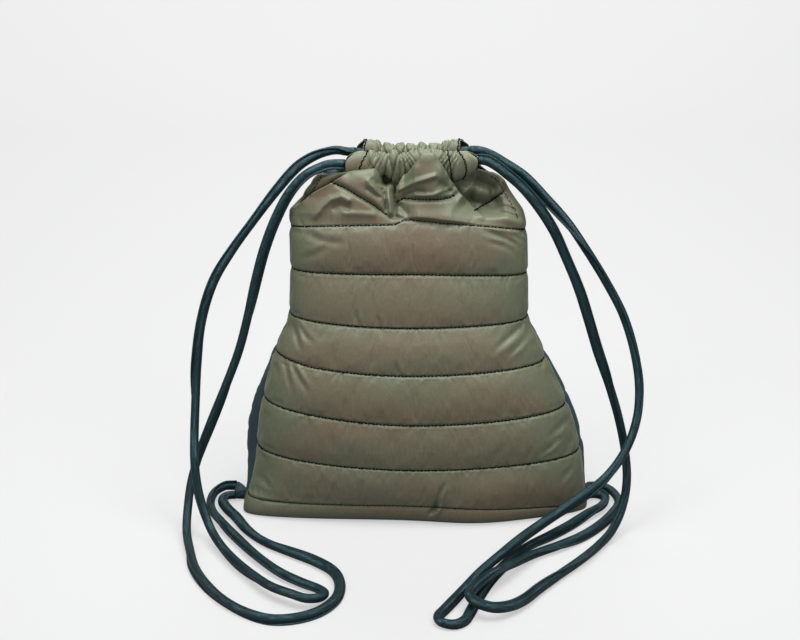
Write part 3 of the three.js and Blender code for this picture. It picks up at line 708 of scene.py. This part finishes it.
def inflate(P, held, pressure, grow, most, frames=18):
    """Cloth simulation of a grid: held points stay, the rest swells; returns the new points."""
    rows, cols = P.shape[:2]
    o = new_piece("swelling", P.reshape(-1, 3), [f[::-1] for f in grid_faces(rows, cols)])
    group = o.vertex_groups.new(name="held")
    group.add([int(k) for k in np.flatnonzero(held.ravel())], 1.0, "REPLACE")
    sim = o.modifiers.new("sim", "CLOTH")
    set_ = sim.settings
    set_.quality = 6
    set_.mass = 0.12
    set_.air_damping = 4
    set_.tension_stiffness = set_.compression_stiffness = 12
    set_.shear_stiffness = 6
    set_.bending_stiffness = 0.25
    set_.use_pressure = True
    set_.uniform_pressure_force = pressure
    set_.shrink_min = grow
    set_.vertex_group_mass = "held"
    set_.effector_weights.gravity = 0
    sim.collision_settings.use_collision = False
    sim.collision_settings.use_self_collision = False
    sim.point_cache.frame_start, sim.point_cache.frame_end = 1, frames
    for f in range(1, frames + 1):
        bpy.context.scene.frame_set(f)
    ready = o.evaluated_get(bpy.context.evaluated_depsgraph_get())
    q = np.zeros(rows * cols * 3)
    ready.data.vertices.foreach_get("co", q)
    q = q.reshape(rows, cols, 3)
    bpy.context.scene.frame_set(1)
    bpy.data.objects.remove(o, do_unlink=True)
    move = q - P
    far = np.linalg.norm(move, axis=-1, keepdims=True)
    return P + move * np.minimum(1, most / np.maximum(1e-9, far))


FACE_Y = -0.044              # upright plane at the front of the bag, on which the folds are drawn as seen


def seen(P):
    """Where points of the bag are seen on that plane from the viewing place, in mm."""
    k = (FACE_Y - EYE[1]) / (P[..., 1] - EYE[1])
    return (EYE[0] + (P[..., 0] - EYE[0]) * k) * 1000, (EYE[2] + (P[..., 2] - EYE[2]) * k) * 1000


def beside(X, Z, points):
    """Distance from a drawn line, which side (+1 left of its run), and how far along it, 0 to 1."""
    p = np.array(points, float)
    far = lengths_along(p)
    best = np.full(X.shape, 1e9)
    side = np.zeros(X.shape)
    along = np.zeros(X.shape)
    for a, b, f0, f1 in zip(p[:-1], p[1:], far[:-1], far[1:]):
        d = b - a
        t = np.clip(((X - a[0]) * d[0] + (Z - a[1]) * d[1]) / (d @ d), 0, 1)
        gx, gz = X - a[0] - t * d[0], Z - a[1] - t * d[1]
        dist = np.hypot(gx, gz)
        new = dist < best
        best = np.where(new, dist, best)
        side = np.where(new, np.sign(d[0] * gz - d[1] * gx), side)
        along = np.where(new, (f0 + t * (f1 - f0)) / far[-1], along)
    return best, side, along


# Folds of the bunched top, drawn on the upright plane in mm, with their width and height. dip: a valley,
# rise: a ridge, lap: the cloth to the right of the line's run lies over the cloth to its left.
FOLDS = [
    ("rise", 17, 5.0, [(10, 388), (12, 372), (14, 356)]),
    ("rise", 20, 4.5, [(-96, 346), (-74, 352), (-58, 348)]),
    ("rise", 8, 3.0, [(-70, 329), (-40, 328)]),
    ("rise", 13, 4.0, [(-56, 372), (-42, 366)]),
    ("dip", 6.5, 21.0, [(-28, 386), (-28, 372), (-29, 361)]),
    ("dip", 4.0, 9.0, [(-27, 378), (-27, 371), (-28, 365)]),
    ("dip", 1.9, 6.0, [(-31, 359), (-30, 353), (-29, 347), (-27, 335)]),
    ("dip", 2.2, 9.0, [(-19, 366), (-19, 350), (-19, 340), (-20, 333), (-14, 330)]),
    ("rise", 2.8, 6.0, [(-25, 364), (-26, 357), (-25, 346), (-24, 334)]),
    ("dip", 1.8, 8.0, [(-26, 331), (-14, 329), (-6, 328), (1, 329)]),
    ("lap", 5.5, 8.0, [(-20, 345), (-18, 361), (-11, 375), (0, 391)]),
    ("lap", 7.0, 11.0, [(24, 391), (35, 370), (45, 355), (56, 344), (72, 327)]),
    ("dip", 2.2, 5.0, [(-82, 367), (-67, 360), (-55, 352), (-43, 345), (-33, 337), (-24, 330)]),
    ("dip", 2.6, 6.0, [(-19, 346), (-11, 350), (4, 349), (25, 349), (35, 351), (44, 356)]),
    ("dip", 1.8, 3.0, [(59, 337), (74, 347), (90, 358)]),
    ("lap", 4.5, 11.0, [(-121, 338), (-102, 355), (-82, 366), (-64, 378)]),
    ("dip", 4.5, 3.4, [(-84, 338), (-73, 343), (-62, 338)]),
    ("rise", 3.2, 3.0, [(-99, 331), (-92, 341), (-83, 349), (-73, 352), (-66, 348)]),
    ("rise", 3.4, 2.6, [(-69, 335), (-56, 334), (-42, 333)]),
    ("rise", 2.6, 3.8, [(-16, 359), (-2, 366), (20, 373)]),
    ("dip", 3.0, 4.0, [(-14, 352), (2, 357), (14, 356)]),
    ("dip", 5.0, 6.0, [(23, 368), (30, 362), (38, 355)]),
    ("rise", 2.0, 2.6, [(0, 354), (18, 353), (36, 361)]),
    ("dip", 1.6, 2.2, [(22, 353), (32, 357), (40, 364)]),
    ("dip", 12.0, 25.0, [(48, 355), (60, 346), (74, 344), (88, 349)]),
    ("dip", 8.0, 9.0, [(34, 377), (46, 368), (60, 366)]),
    ("dip", 8.0, 15.0, [(56, 371), (68, 366), (84, 359)]),
    ("rise", 6.0, 5.0, [(68, 331), (88, 329), (107, 322)]),
    ("dip", 2.0, 2.5, [(72, 334), (92, 335), (108, 328)]),
    ("dip", 1.8, 2.0, [(74, 341), (90, 342), (105, 336)]),
    ("dip", 3.5, 2.6, [(-44, 372), (-36, 362), (-30, 356)]),
    ("dip", 2.4, 2.4, [(-50, 362), (-40, 354), (-31, 350)]),
    ("rise", 3.0, 2.4, [(-46, 368), (-36, 356), (-29, 350)]),
    ("dip", 4.0, 6.0, [(-17, 346), (-12, 338), (-5, 331)]),
]
# Quilt line that is drawn up into the bunched top, in three stretches that show between the folds.
TOP_LINE = [
    [(-82, 367), (-67, 360), (-55, 352), (-43, 345), (-33, 337), (-25, 331)],
    [(-18, 346), (-11, 350), (4, 349), (25, 349), (35, 351), (42, 355)],
    [(59, 337), (74, 347), (90, 358)],
]


def fold_depths(X, Z):
    """Depth of all folds at places of the plane, in metres."""
    deep = np.zeros(X.shape)
    for kind, wide, high, points in FOLDS:
        dist, side, along = beside(X, Z, points)
        end = np.clip(np.minimum(along, 1 - along) / 0.2, 0, 1)
        end = end * end * (3 - 2 * end)
        if kind == "dip":
            deep += high * np.exp(-(dist / wide) ** 1.6) * (0.25 + 0.75 * end)
        elif kind == "rise":
            deep -= high * np.exp(-(dist / wide) ** 2)
        else:
            above, below = -high * 0.55 * np.exp(-dist / (wide * 1.5)), high * np.exp(-dist / wide)
            deep += np.where(side < 0, above, below) * end
    return deep / 1000


# Creases of the bands, drawn on the same plane, with their width and depth in mm. Each is a valley with a
# ridge on its left.
CREASES = [
    (2.4, 2.6, [(-124, 225), (-121, 210), (-116, 188)]), (2.0, 1.8, [(-121, 223), (-112, 206), (-101, 195)]),
    (2.4, 2.4, [(-127, 177), (-118, 158), (-107, 140)]), (2.2, 1.8, [(-134, 184), (-130, 162), (-125, 140)]),
    (1.7, 1.6, [(-53, 53), (-55, 31), (-58, 8)]), (2.4, 2.0, [(-160, 49), (-150, 33)]),
    (2.2, 1.8, [(-163, 81), (-155, 65)]), (3.0, 2.4, [(115, 223), (100, 206), (80, 187)]),
    (2.2, 1.7, [(120, 211), (108, 195), (95, 181)]), (2.8, 2.2, [(165, 122), (151, 103), (139, 92)]),
    (2.2, 1.6, [(154, 95), (142, 81), (131, 72)]), (2.4, 1.8, [(166, 58), (153, 41)]),
    (3.2, 2.8, [(66, 318), (88, 310), (108, 298)]), (2.4, 2.0, [(84, 318), (98, 311), (114, 304)]),
    (2.2, 1.8, [(70, 306), (90, 301), (104, 292)]), (3.6, 1.5, [(-112, 316), (-92, 306), (-66, 303)]),
    (3.0, 1.2, [(-116, 288), (-98, 292), (-84, 302)]), (2.2, 2.6, [(33, 41), (26, 23), (21, 9)]),
    (3.0, 4.6, [(27, 20), (21, 9), (15, 1)]), (2.0, 1.2, [(-38, 228), (-35, 216), (-33, 208)]),
    (2.0, 1.2, [(-60, 231), (-57, 219), (-55, 212)]), (2.2, 1.2, [(-20, 178), (-17, 166), (-16, 158)]),
]


def crease_depths(X, Z):
    deep = np.zeros(X.shape)
    for wide, high, points in CREASES:
        dist, side, along = beside(X, Z, points)
        end = np.clip(np.minimum(along, 1 - along) / 0.3, 0.1, 1)
        ridge = np.exp(-((side * dist - 1.8 * wide) / wide) ** 2)
        deep += high * end * (np.exp(-(dist / wide) ** 2) - 0.6 * ridge)
    return deep / 1000


BAND_MM, FOOT_MM = 52.0, 22.0    # from one quilt line to the next, and from the last to the base edge


def puckers(P, v, turn):
    """Depth of the small puckers that run from the quilt lines into the padding, in metres."""
    rng = np.random.default_rng(7)
    X = P[..., 0] * 1000
    V = np.repeat(v[:, None], len(turn), axis=1)
    out = np.zeros(X.shape)
    for k in range(FIRST, LAST + 1):
        wide = BAND_MM if k < LAST else FOOT_MM
        for below in (True, False):
            count = 26 if not below else 46 if k < LAST else 14
            for _ in range(count):
                x0 = rng.uniform(-178, 178)
                slant = rng.normal(0, 0.35) + x0 / 420
                reach = rng.uniform(3, 10) * (1.35 if below else 0.8)
                size = rng.uniform(0.2, 0.75) * (1.0 if below else 0.6)
                thin = rng.uniform(0.9, 2.0)
                fall = (V - k) * wide * (1 if below else -1)
                near = (fall > -0.1) & (fall < reach * 2.2)
                if not near.any():
                    continue
                d = (X - x0 - slant * fall) / (thin * (1 + fall / reach * 0.5))
                dent = -size * np.exp(-d * d) * np.exp(-(fall / reach) ** 2) * np.clip(fall / 1.4, 0, 1)
                out += np.where(near, dent, 0)
    return out / 1000


UNFILLED = 0.62              # share of the padding's height that is there before it swells
LINE_DEEP, FOOT_DEEP = 0.0012, 0.0006    # how far the stitches draw the cloth in at a line
v_coarse = front_rows(46, 12, 8)
even = np.linspace(-1, 1, 161)
turn_coarse = np.pi / 2 * (0.72 * even + 0.28 * even ** 5)
P = front_base(v_coarse, turn_coarse, UNFILLED)
held = np.zeros(P.shape[:2], bool)
held[v_coarse <= FIRST] = True
held[v_coarse >= LAST] = True
held[np.isclose(v_coarse % 1, 0)] = True
held[:, 0] = held[:, -1] = True
P = inflate(P, held, pressure=1.8, grow=-0.008, most=0.0040)
P = finer(finer(P, 2, 0), 2, 1)
v_fine = finer(v_coarse[:, None], 2, 0)[:, 0]
turn_fine = finer(turn_coarse[:, None], 2, 0)[:, 0]
N = facing(P)
X, Z = seen(P)
V = np.repeat(v_fine[:, None], len(turn_fine), axis=1)
ray = P - EYE
ray /= np.linalg.norm(ray, axis=-1, keepdims=True)
top_only = np.clip((1.02 - V) / 0.22, 0, 1) * np.clip(V / 0.06, 0, 1) ** 0.5
P = P + ray * (fold_depths(X, Z) * top_only)[..., None]
# No fold reaches past the middle of the mouth; beside the mouth there is a little more room.
past = P[..., 1] + 0.0055 - 0.0085 * np.clip((X - 36) / 10, 0, 1)
past = np.clip(past, 0, None) * (1 - np.abs(np.sin(turn_fine)) ** 8)
P = P - ray * (past / ray[..., 1] * np.clip(V / 0.06, 0, 1))[..., None]
# The full puff under the drawn-up line, which keeps its height right down to the first quilt line.
puff = 0.0064 * np.exp(-((Z - 329) / 12) ** 2) * np.clip((X + 7) / 11, 0, 1) * np.clip((62 - X) / 26, 0, 1)
P = P - ray * (puff * np.clip((1.0 - V) / 0.034, 0, 1) * np.clip(V / 0.3, 0, 1))[..., None]
P = P + ray * (crease_depths(X, Z) * np.clip((V - 1.0) / 0.06, 0, 1))[..., None]
P = P + N * puckers(P, v_fine, turn_fine)[..., None]
line_rows = [int(np.argmin(np.abs(v_fine - k))) for k in range(FIRST, LAST + 1)]
for i in line_rows:
    deep = LINE_DEEP if i < line_rows[-1] else FOOT_DEEP
    for near, share in ((0, 1.0), (-1, 0.4), (1, 0.4)):
        P[i + near] -= N[i + near] * deep * share
P[..., 2] = np.maximum(P[..., 2], 0.0002)
FRONT = P
front = new_piece("front_padded_shell", P.reshape(-1, 3), grid_faces(*P.shape[:2])[:, ::-1], shell)
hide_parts("front_panel")
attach(front, "root")

# Quilt stitches. One row of thread along each line, finer at the foot; they hold the padding in its bands.
PROUD = 0.0004               # the thread lies this far out of the cloth
N = facing(FRONT)
lines = [(FRONT[i] + N[i] * PROUD)[2:-2] for i in line_rows]
foot_line = lines.pop()
X, Z = seen(FRONT)
top = v_fine < 1.05
for line in TOP_LINE:
    p = np.array(line, float)
    far = lengths_along(p)
    on = []
    for d in np.arange(0, far[-1], 2.0):
        x, z = np.interp(d, far, p[:, 0]), np.interp(d, far, p[:, 1])
        near = np.hypot(X[top] - x, Z[top] - z)
        r, c = np.unravel_index(int(np.argmin(near)), near.shape)
        on.append(FRONT[r, c] + N[r, c] * PROUD)
    lines.append(np.array(on))
stitches("quilt_stitches", lines)
stitches("foot_stitches", [foot_line], long=0.0024, gap=0.0006, thick=0.0006, zig=0.0003)

# Lining of the front panel. The plain inner layer, sewn in with the side seams, near-black so that it also
# stands for the painted shade inside the mouth; it is seen only through the mouth, so it starts half-way down
# the bunched top and stays behind the deepest folds near it.
LINING_DEEP = 0.0022         # from the face of the cloth in to the lining
Q = front_base(v_fine, turn_fine, 0.0)
N = facing(Q)
inward = -np.einsum("ijk,ijk->ij", FRONT - Q, N)
behind = np.einsum("ijk,ijk->ij", FRONT - Q, ray)
for axis, reach in ((0, 8), (1, 12)):
    inward = np.max([np.roll(inward, d, axis=axis) for d in range(-reach, reach + 1)], axis=0)
    behind = np.max([np.roll(behind, d, axis=axis) for d in range(-reach, reach + 1)], axis=0)
top = np.clip((1.10 - V) / 0.15, 0, 1) * (1 - np.sin(turn_fine) ** 8)
back_off = (np.clip(behind, 0, None) + 0.004) * np.clip(-np.einsum("ijk,ijk->ij", N, ray), 0, 1) * top
inward = np.clip(inward, 0, None) * (1 - top) + LINING_DEEP
under = int(np.argmax(v_fine > 0.5))
Q = (Q - N * inward[..., None] + ray * back_off[..., None])[under::4, ::5]
Q[..., 2] = np.maximum(Q[..., 2], LINING_DEEP * (v_fine[under::4, None] > 7.5))
lining = new_piece("front_lining", Q.reshape(-1, 3), grid_faces(*Q.shape[:2]), lining_with_inside_shade)
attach(lining, "root")

# Back panel. One layer of teal twill, cut fuller than the front low down, bunched into its own casing and
# sewn to the front panel along both sides and under the base.
twill_cloth, t, shader = finish_of("back_twill")
place = add(t, "TexCoord")
weave = add(t, "Group", {"Place": place.outputs["Object"]}, {"Ribs": 4200.0}, node_tree=twill)
broad = add(t, "TexNoise", {"Vector": place.outputs["Object"]}, {"Scale": 16.0, "Detail": 3.0})
tone = tones(t, broad.outputs["Fac"], (0.014, 0.031, 0.040), (0.027, 0.055, 0.067), (0.3, 0.72))
t.links.new(twill_colour(t, weave, tone, 0.7), shader.inputs["Base Color"])
bumps(t, shader, (weave.outputs["Rib"], 0.5, 0.00015), (weave.outputs["Slub"], 0.25, 0.0006))
set_values(shader, {"Roughness": 0.62, "Specular IOR Level": 0.25, "Sheen Weight": 0.06,
                    "Sheen Tint": (0.30, 0.62, 0.72, 1)})

s_rows = np.concatenate([np.linspace(0, BASE, 150), BASE + np.linspace(0.15, 2, 8)])
turns = np.linspace(-np.pi / 2, np.pi / 2, 141)
B = np.stack([cloth("back", np.full(len(turns), s), turns) for s in s_rows])
N = -facing(B)
rng = np.random.default_rng(11)
x_mm, z_mm = B[..., 0] * 1000, B[..., 2] * 1000
folds = np.zeros(x_mm.shape)     # inwards, in mm: gathers under the casing, then slack, then seam puckers
across = np.sin(turns)[None, :] * np.ones(len(s_rows))[:, None]
for _ in range(26):
    at, lean = rng.uniform(-0.92, 0.92), rng.normal(0, 0.1)
    reach, deep, thin = rng.uniform(30, 95), rng.uniform(1.2, 3.6), rng.uniform(0.03, 0.055)
    fall = BODY_TOP * 1000 - z_mm
    d = (across - at - lean * fall / 100) / (thin * (1 + fall / reach))
    folds -= deep * np.exp(-d * d) * np.exp(-(fall / reach) ** 2) * np.clip(fall / 5 + 0.3, 0, 1)
for _ in range(16):
    z0, x0 = rng.uniform(18, 250), rng.uniform(-120, 120)
    wide, deep = rng.uniform(30, 80), rng.uniform(0.8, 2.2)
    thin, lean = rng.uniform(3.5, 8), rng.normal(0, 0.18)
    d = (z_mm - z0 - lean * (x_mm - x0) + 0.0016 * (x_mm - x0) ** 2) / thin
    folds -= deep * np.exp(-d * d) * np.exp(-((x_mm - x0) / wide) ** 2)
for side in (-1, 1):
    for _ in range(22):
        z0 = rng.uniform(12, 300)
        deep, thin, reach = rng.uniform(0.4, 1.1), rng.uniform(2.2, 5.2), rng.uniform(0.05, 0.16)
        d = (z_mm - z0 - side * 24 * (1 - np.abs(across))) / thin
        near = np.exp(-((1 - side * across) / reach) ** 2) * (np.abs(across) < 0.9999)
        folds -= deep * np.exp(-d * d) * near
edge = 1 - np.abs(across) ** 40
B = B + N * (folds / 1000 * edge * np.clip(z_mm / 8, 0, 1))[..., None]
B[..., 2] = np.maximum(B[..., 2], 0.0002)
back = new_piece("back_cloth", B.reshape(-1, 3), grid_faces(*B.shape[:2]), twill_cloth)
shell_mod = back.modifiers.new("cloth", "SOLIDIFY")
shell_mod.thickness, shell_mod.offset = 0.0016, -1
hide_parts("back_panel")
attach(back, "root")

# Side seams. The two panels are sewn together down each side and under the base; the stitches show
# along the seam, and along the turned hems of the slits above it.
lines = []
N = facing(FRONT)
for c in (0, -1):
    col = FRONT[:, c]
    lines.append(col[(v_fine > 0.05) & (v_fine < 7.9)] + [0.0016 if c == 0 else -0.0016, -0.0012, 0])
    inside = 22 if c == 0 else -23
    hem = FRONT[:, inside] + N[:, inside] * 0.0003
    lines.append(hem[(v_fine > 0.16) & (v_fine < (0.55 if c == 0 else 0.90))])
stitches("side_seam_stitches", lines, long=0.0028, gap=0.0012, thick=0.00046)

# Corner tabs. A short folded sleeve of the back twill at the bottom corner of each side seam: the two
# cord ends of that side are sewn into its wide end, and its narrow end is caught in the seam.
# Its sections from the wide end in: distance from the bag's middle, y, half width and half height.
TABS = np.array([
    (0.1925, 0.0078, 0.0110, 0.0050), (0.1920, 0.0078, 0.0128, 0.0064), (0.1895, 0.0074, 0.0132, 0.0070),
    (0.1865, 0.0056, 0.0108, 0.0071), (0.1830, 0.0022, 0.0072, 0.0070), (0.1795, -0.0030, 0.0050, 0.0068),
    (0.1750, -0.0070, 0.0038, 0.0066),
])
TAB_MIDDLE = 0.0076          # height of its middle over the floor
for side, name in ((-1, "left_corner_tab"), (1, "right_corner_tab")):
    around, steps = 40, 25
    a = np.linspace(0, 2 * np.pi, around, endpoint=False)
    at = np.linspace(0, len(TABS) - 1, steps)
    out, y, half_y, half_z = (np.interp(at, np.arange(len(TABS)), TABS[:, k])[:, None] for k in range(4))
    waist = 1 - 0.22 * np.exp(-((np.cos(a) + 0.05) / 0.30) ** 2) * np.clip(1.4 - at[:, None] / 3, 0, 1)
    crimp = 1 + 0.035 * np.sin(9 * a + 1.3 * at[:, None])
    cy = np.sign(np.cos(a)) * np.abs(np.cos(a)) ** 0.8
    cz = np.sign(np.sin(a)) * np.abs(np.sin(a)) ** 0.8 * waist
    ring = np.stack([side * out + 0 * a, y + half_y * cy * crimp, TAB_MIDDLE + half_z * cz * crimp], axis=-1)
    ring[..., 2] = np.maximum(ring[..., 2], 0.0003)
    faces = [face[::side] for face in tube_faces(steps, around)]
    piece = new_piece(name + "_cloth", ring.reshape(-1, 3), faces, twill_cloth)
    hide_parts(name)
    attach(piece, "root")
    rows = []
    for i in (5, 9):
        middle = np.array([ring[i, :, 0].mean(), ring[i, :, 1].mean(), TAB_MIDDLE])
        loop = ring[i] + (ring[i] - middle) * 0.02
        rows.append(loop[:around // 2 + 1])
    stitches(name + "_stitches", rows, long=0.0018, thick=0.0003, zig=0.0001)

# Floor. A plain pale paper sweep that lies under the bag, runs on behind it and bends up far behind.
# It glows a little where it is looked at, as a lit sweep does, and throws little of that on the bag.
PAPER_GLOW = (0.480, 0.720)     # in front of the bag and far behind it
paper, t, shader = finish_of("paper_sweep")
place = add(t, "TexCoord")
speck = add(t, "TexNoise", {"Vector": place.outputs["Object"]}, {"Scale": 300.0, "Detail": 3.0})
pale = tones(t, speck.outputs["Fac"], (0.205, 0.207, 0.207), (0.215, 0.217, 0.217))
t.links.new(pale, shader.inputs["Base Color"])
rays = add(t, "LightPath")
height = add(t, "SeparateXYZ", {"Vector": place.outputs["Object"]})
even = add(t, "MapRange", {"Value": height.outputs["Y"]},
           {"From Min": -0.4, "From Max": 2.4, "To Min": PAPER_GLOW[0], "To Max": PAPER_GLOW[1]})
lit = add(t, "Math", {0: even.outputs["Result"], 1: rays.outputs["Is Camera Ray"]}, operation="MULTIPLY")
glow = add(t, "CombineColor", {"Red": lit.outputs[0], "Green": lit.outputs[0], "Blue": lit.outputs[0]})
t.links.new(glow.outputs["Color"], shader.inputs["Emission Color"])
set_values(shader, {"Roughness": 0.9, "Specular IOR Level": 0.05, "Emission Strength": 1.0})
angle = np.linspace(0, np.pi / 2, 24)
bend = np.column_stack([1.6 + 1.2 * np.sin(angle), 1.2 - 1.2 * np.cos(angle)])
profile = np.vstack([[(-4.0, 0)], bend, [(2.8, 4.0)]])
points = [(x, y, z) for y, z in profile for x in (-5.0, 5.0)]
floor = new_piece("floor", points, grid_faces(len(profile), 2), paper)

# Light. A large soft box overhead and a little in front, one on each side of the front, one behind the bag,
# and white fill from all round.
def soft_box(name, place, aim, width, height, power):
    data = bpy.data.lights.new(name, "AREA")
    data.shape, data.size, data.size_y, data.energy = "RECTANGLE", width, height, power
    o = bpy.data.objects.new(name, data)
    o.location = place
    toward = Vector(aim) - Vector(place)
    o.rotation_euler = toward.to_track_quat("-Z", "Y").to_euler()
    bpy.context.scene.collection.objects.link(o)


soft_box("overhead", (0.03, -0.32, 1.36), (0, 0, 0.25), 1.3, 0.8, 26)
soft_box("left_front", (-1.3, -1.6, 1.75), (0, 0, 0.3), 1.0, 1.0, 17)
soft_box("right_front", (1.3, -1.6, 1.70), (0, 0, 0.3), 1.0, 1.0, 14)
soft_box("back_fill", (0, 1.5, 1.9), (0, 0, 0.2), 1.4, 1.0, 26)
world = bpy.data.worlds.new("white_fill")
world.use_nodes = True
world.node_tree.nodes["Background"].inputs["Color"].default_value = (1, 1, 1, 1)
world.node_tree.nodes["Background"].inputs["Strength"].default_value = 0.28
bpy.context.scene.world = world
bpy.context.scene.view_settings.view_transform = "Standard"
